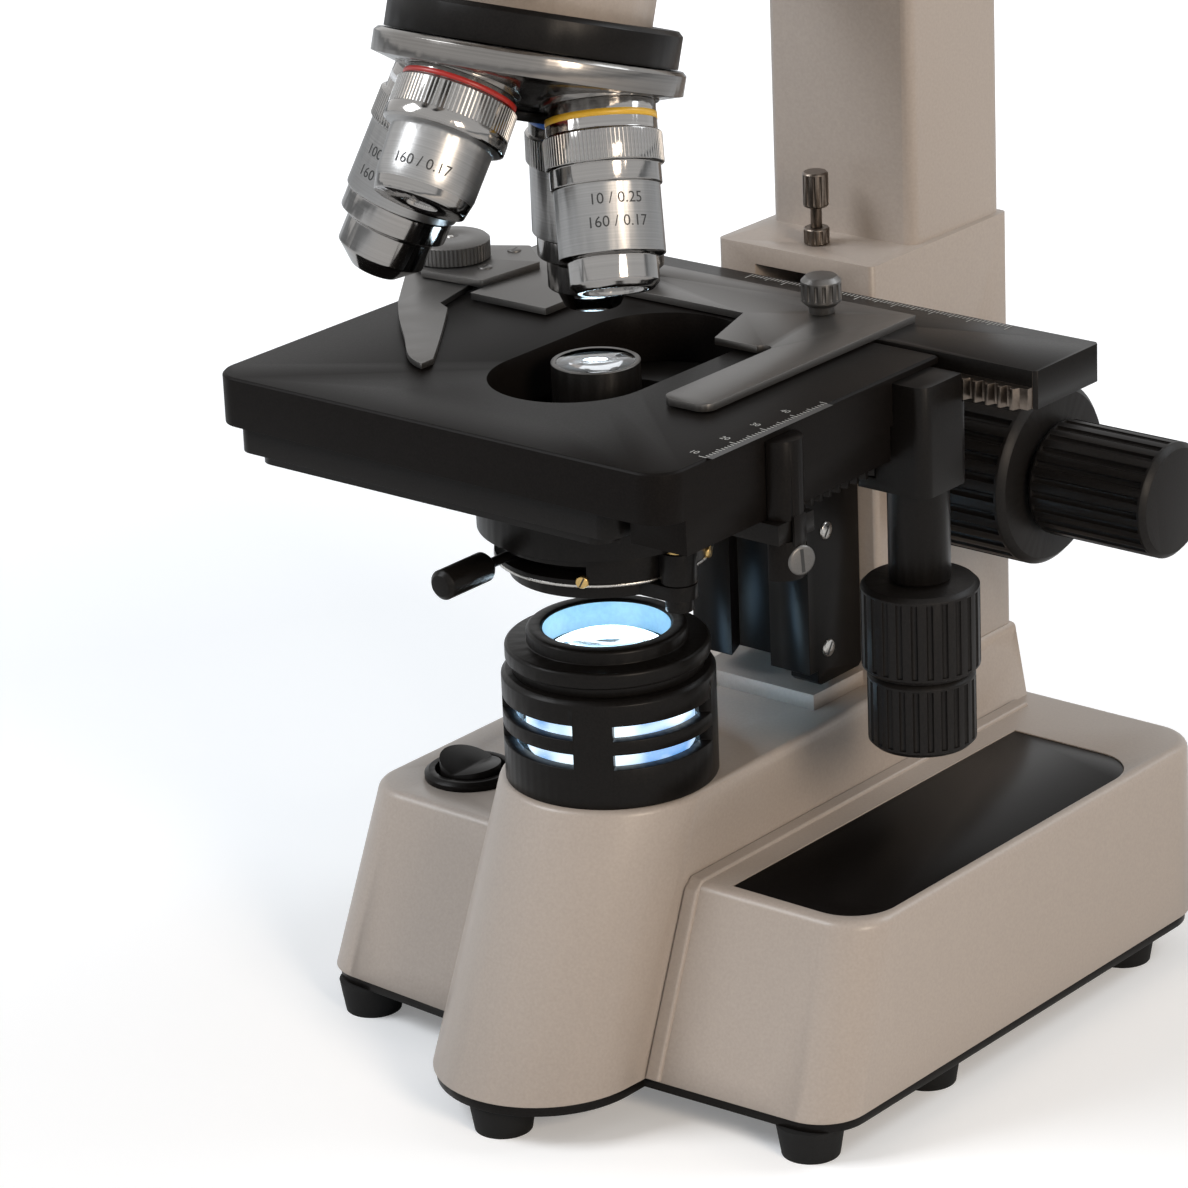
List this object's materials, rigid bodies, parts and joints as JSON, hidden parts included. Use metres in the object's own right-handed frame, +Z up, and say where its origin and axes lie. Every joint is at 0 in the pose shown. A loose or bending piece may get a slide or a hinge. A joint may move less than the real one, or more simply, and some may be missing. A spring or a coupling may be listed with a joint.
{
  "type": "trinocular microscope",
  "caption": "Upright compound laboratory microscope with inclined twin eyepieces, vertical camera tube, revolving nosepiece, mechanical stage, swing-out condenser filter and lit base.",
  "frame": {"origin": "the point on the table under the optical axis, at the level of the feet's soles", "axes": "+Z up along the optical axis, -Y towards the user, +Y towards the arm and the mains inlet, +X to the user's right"},
  "size_m": [0.172, 0.2578, 0.4115],
  "materials": {
    "white_enamel": "smooth satin enamel",
    "black_gloss": "gloss",
    "black_matte": "fine matt",
    "black_metal": "satin black enamel",
    "bare_steel": "brushed",
    "nickel": "satin plated",
    "chrome": "polished",
    "aluminium": "satin turned",
    "brass": "turned",
    "optic": "polished",
    "rubber": "matt",
    "board": "matt"
  },
  "bodies": {
    "stand": {"base_housing": "white_enamel", "bottom_plate": "black_metal", "rubber_feet": "rubber", "inlay_panel": "black_gloss", "lamp_housing": "black_metal", "lamp_collar": "black_metal", "collector_lens": "optic", "led_module": "board", "switch_bezel": "black_gloss", "power_inlet": "black_matte", "fuse_cap": "black_matte", "arm": "white_enamel", "nosepiece_mount": "black_metal", "stop_lock_nut": "bare_steel"},
    "power_rocker": {"power_rocker": "black_gloss"},
    "brightness_dial": {"brightness_dial": "black_matte"},
    "stop_screw": {"stop_screw": "bare_steel"},
    "coarse_focus": {"coarse_shaft": "bare_steel", "coarse_knobs": "black_matte"},
    "tension_ring": {"tension_ring": "black_matte"},
    "fine_focus": {"fine_shaft": "bare_steel", "fine_knobs": "black_matte"},
    "focus_guide": {"focus_guide": "aluminium"},
    "stage_carriage": {"stage_bracket": "black_metal", "stage_base_plate": "black_metal", "index_post": "black_metal"},
    "y_plate": {"stage_top_plate": "black_metal", "control_housing": "black_metal"},
    "x_slide": {"x_rack_bar": "black_metal", "slide_holder": "nickel", "finger_clamp_plate": "nickel"},
    "thumb_screw_left": {"thumb_screw_left": "chrome"},
    "thumb_screw_right": {"thumb_screw_right": "chrome"},
    "finger": {"slide_finger": "nickel", "finger_cap": "nickel"},
    "y_control": {"y_control_knob": "black_matte"},
    "x_control": {"x_control_knob": "black_matte"},
    "condenser": {"condenser_carrier": "black_metal", "condenser_body": "black_metal", "condenser_lens": "optic"},
    "condenser_clamp_screw": {"condenser_clamp_screw": "black_matte"},
    "condenser_focus_knob": {"condenser_focus_knob": "black_matte"},
    "iris_lever": {"iris_lever": "black_metal"},
    "filter_holder": {"filter_holder": "black_metal"},
    "nosepiece": {"nosepiece_turret": "chrome", "objective_4x": "aluminium", "objective_10x": "aluminium", "objective_40x": "aluminium", "objective_100x": "aluminium", "objective_lenses": "optic"},
    "head": {"head_body": "white_enamel", "photo_tube": "black_metal"},
    "head_clamp_screw": {"head_clamp_screw": "chrome"},
    "beam_splitter_rod": {"beam_splitter_rod": "chrome"},
    "left_ocular": {"left_tube_housing": "white_enamel", "left_eyepiece": "black_matte"},
    "right_ocular": {"right_tube_housing": "white_enamel", "right_eyepiece": "black_matte"},
    "diopter_ring": {"diopter_ring": "black_matte"}
  },
  "joints": [
    {"name": "rocker_swing", "type": "hinge", "parent": "stand", "child": "power_rocker", "pos_m": [-0.0534, 0.013, 0.05], "axis": [0, 1, 0], "range_deg": [-14, 0]},
    {"name": "brightness_turn", "type": "hinge", "parent": "stand", "child": "brightness_dial", "pos_m": [-0.07501, 0.062, 0.031], "axis": [1, 0, 0], "range_deg": [-135, 135]},
    {"name": "stop_turn", "type": "hinge", "parent": "stand", "child": "stop_screw", "pos_m": [0, 0.078, 0.18], "axis": [0, 0, 1], "range_deg": [-180, 180]},
    {"name": "coarse_slide", "type": "slide", "parent": "stand", "child": "focus_guide", "axis": [0, 0, 1], "range_m": [0, 0.008]},
    {"name": "coarse_turn", "type": "hinge", "parent": "stand", "child": "coarse_focus", "pos_m": [0, 0.092, 0.122], "axis": [1, 0, 0], "range_deg": [-77, 0]},
    {"name": "tension_turn", "type": "hinge", "parent": "stand", "child": "tension_ring", "pos_m": [0.024, 0.092, 0.122], "axis": [1, 0, 0], "range_deg": [-60, 60]},
    {"name": "fine_turn", "type": "hinge", "parent": "stand", "child": "fine_focus", "pos_m": [0, 0.092, 0.122], "axis": [1, 0, 0], "range_deg": [-1800, 1800]},
    {"name": "fine_slide", "type": "slide", "parent": "focus_guide", "child": "stage_carriage", "axis": [0, 0, 1], "range_m": [-0.001, 0.001]},
    {"name": "y_travel", "type": "slide", "parent": "stage_carriage", "child": "y_plate", "axis": [0, 1, 0], "range_m": [-0.02, 0.0025]},
    {"name": "x_travel", "type": "slide", "parent": "y_plate", "child": "x_slide", "axis": [1, 0, 0], "range_m": [-0.023, 0.037]},
    {"name": "thumb_left_turn", "type": "hinge", "parent": "x_slide", "child": "thumb_screw_left", "pos_m": [-0.024, 0.0465, 0.173], "axis": [0, 0, 1], "range_deg": [-180, 180]},
    {"name": "thumb_right_turn", "type": "hinge", "parent": "x_slide", "child": "thumb_screw_right", "pos_m": [0.025, 0.0465, 0.173], "axis": [0, 0, 1], "range_deg": [-180, 180]},
    {"name": "finger_swing", "type": "hinge", "parent": "x_slide", "child": "finger", "pos_m": [-0.0673, 0.031, 0.167], "axis": [0, 0, 1], "range_deg": [-25, 0], "stiffness_Nm_per_rad": 0.05, "springref_deg": 11.46},
    {"name": "y_control_turn", "type": "hinge", "parent": "y_plate", "child": "y_control", "pos_m": [0.0595, 0.0335, 0.12], "axis": [0, 0, 1], "range_deg": [-192, 25]},
    {"name": "x_control_turn", "type": "hinge", "parent": "y_plate", "child": "x_control", "pos_m": [0.0595, 0.0335, 0.12], "axis": [0, 0, 1], "range_deg": [-355, 221]},
    {"name": "condenser_travel", "type": "slide", "parent": "stage_carriage", "child": "condenser", "axis": [0, 0, 1], "range_m": [-0.0115, 0]},
    {"name": "condenser_focus_turn", "type": "hinge", "parent": "condenser", "child": "condenser_focus_knob", "pos_m": [-0.034, 0.038, 0.135], "axis": [1, 0, 0], "range_deg": [0, 111]},
    {"name": "condenser_clamp_turn", "type": "hinge", "parent": "condenser", "child": "condenser_clamp_screw", "pos_m": [-0.04, 0, 0.135], "axis": [1, 0, 0], "range_deg": [-90, 90]},
    {"name": "iris_turn", "type": "hinge", "parent": "condenser", "child": "iris_lever", "pos_m": [0, 0, 0.125], "axis": [0, 0, 1], "range_deg": [-30, 30]},
    {"name": "filter_swing", "type": "hinge", "parent": "condenser", "child": "filter_holder", "pos_m": [0.0255, -0.006, 0.12], "axis": [0, 0, 1], "range_deg": [0, 95]},
    {"name": "nosepiece_turn", "type": "hinge", "parent": "stand", "child": "nosepiece", "pos_m": [0, 0, 0.28865], "axis": [0, 0.2984, 0.9544], "continuous": true},
    {"name": "head_turn", "type": "hinge", "parent": "stand", "child": "head", "pos_m": [0, 0, 0.29], "axis": [0, 0, 1], "continuous": true},
    {"name": "head_clamp_turn", "type": "hinge", "parent": "stand", "child": "head_clamp_screw", "pos_m": [0.034, 0, 0.284], "axis": [1, 0, 0], "range_deg": [-180, 180]},
    {"name": "splitter_slide", "type": "slide", "parent": "head", "child": "beam_splitter_rod", "axis": [1, 0, 0], "range_m": [0, 0.01]},
    {"name": "right_ocular_swing", "type": "hinge", "parent": "head", "child": "right_ocular", "pos_m": [0, -0.025, 0.318], "axis": [0, -0.866, 0.5], "range_deg": [-23.3, 11]},
    {"name": "left_ocular_swing", "type": "hinge", "parent": "head", "child": "left_ocular", "pos_m": [0, -0.025, 0.318], "axis": [0, -0.866, 0.5], "range_deg": [-11, 23.3]},
    {"name": "diopter_turn", "type": "hinge", "parent": "left_ocular", "child": "diopter_ring", "pos_m": [-0.03201, -0.01476, 0.33573], "axis": [0, -0.866, 0.5], "range_deg": [-160, 160]}
  ],
  "couplings": [
    {"joint": "coarse_turn", "follows": "coarse_slide", "rad_per_m": -166.67},
    {"joint": "fine_turn", "follows": "fine_slide", "rad_per_m": 31416},
    {"joint": "y_control_turn", "follows": "y_travel", "rad_per_m": 166.67},
    {"joint": "x_control_turn", "follows": "x_travel", "rad_per_m": -166.67},
    {"joint": "condenser_focus_turn", "follows": "condenser_travel", "rad_per_m": -166.67},
    {"joint": "left_ocular_swing", "follows": "right_ocular_swing", "ratio": -1}
  ]
}
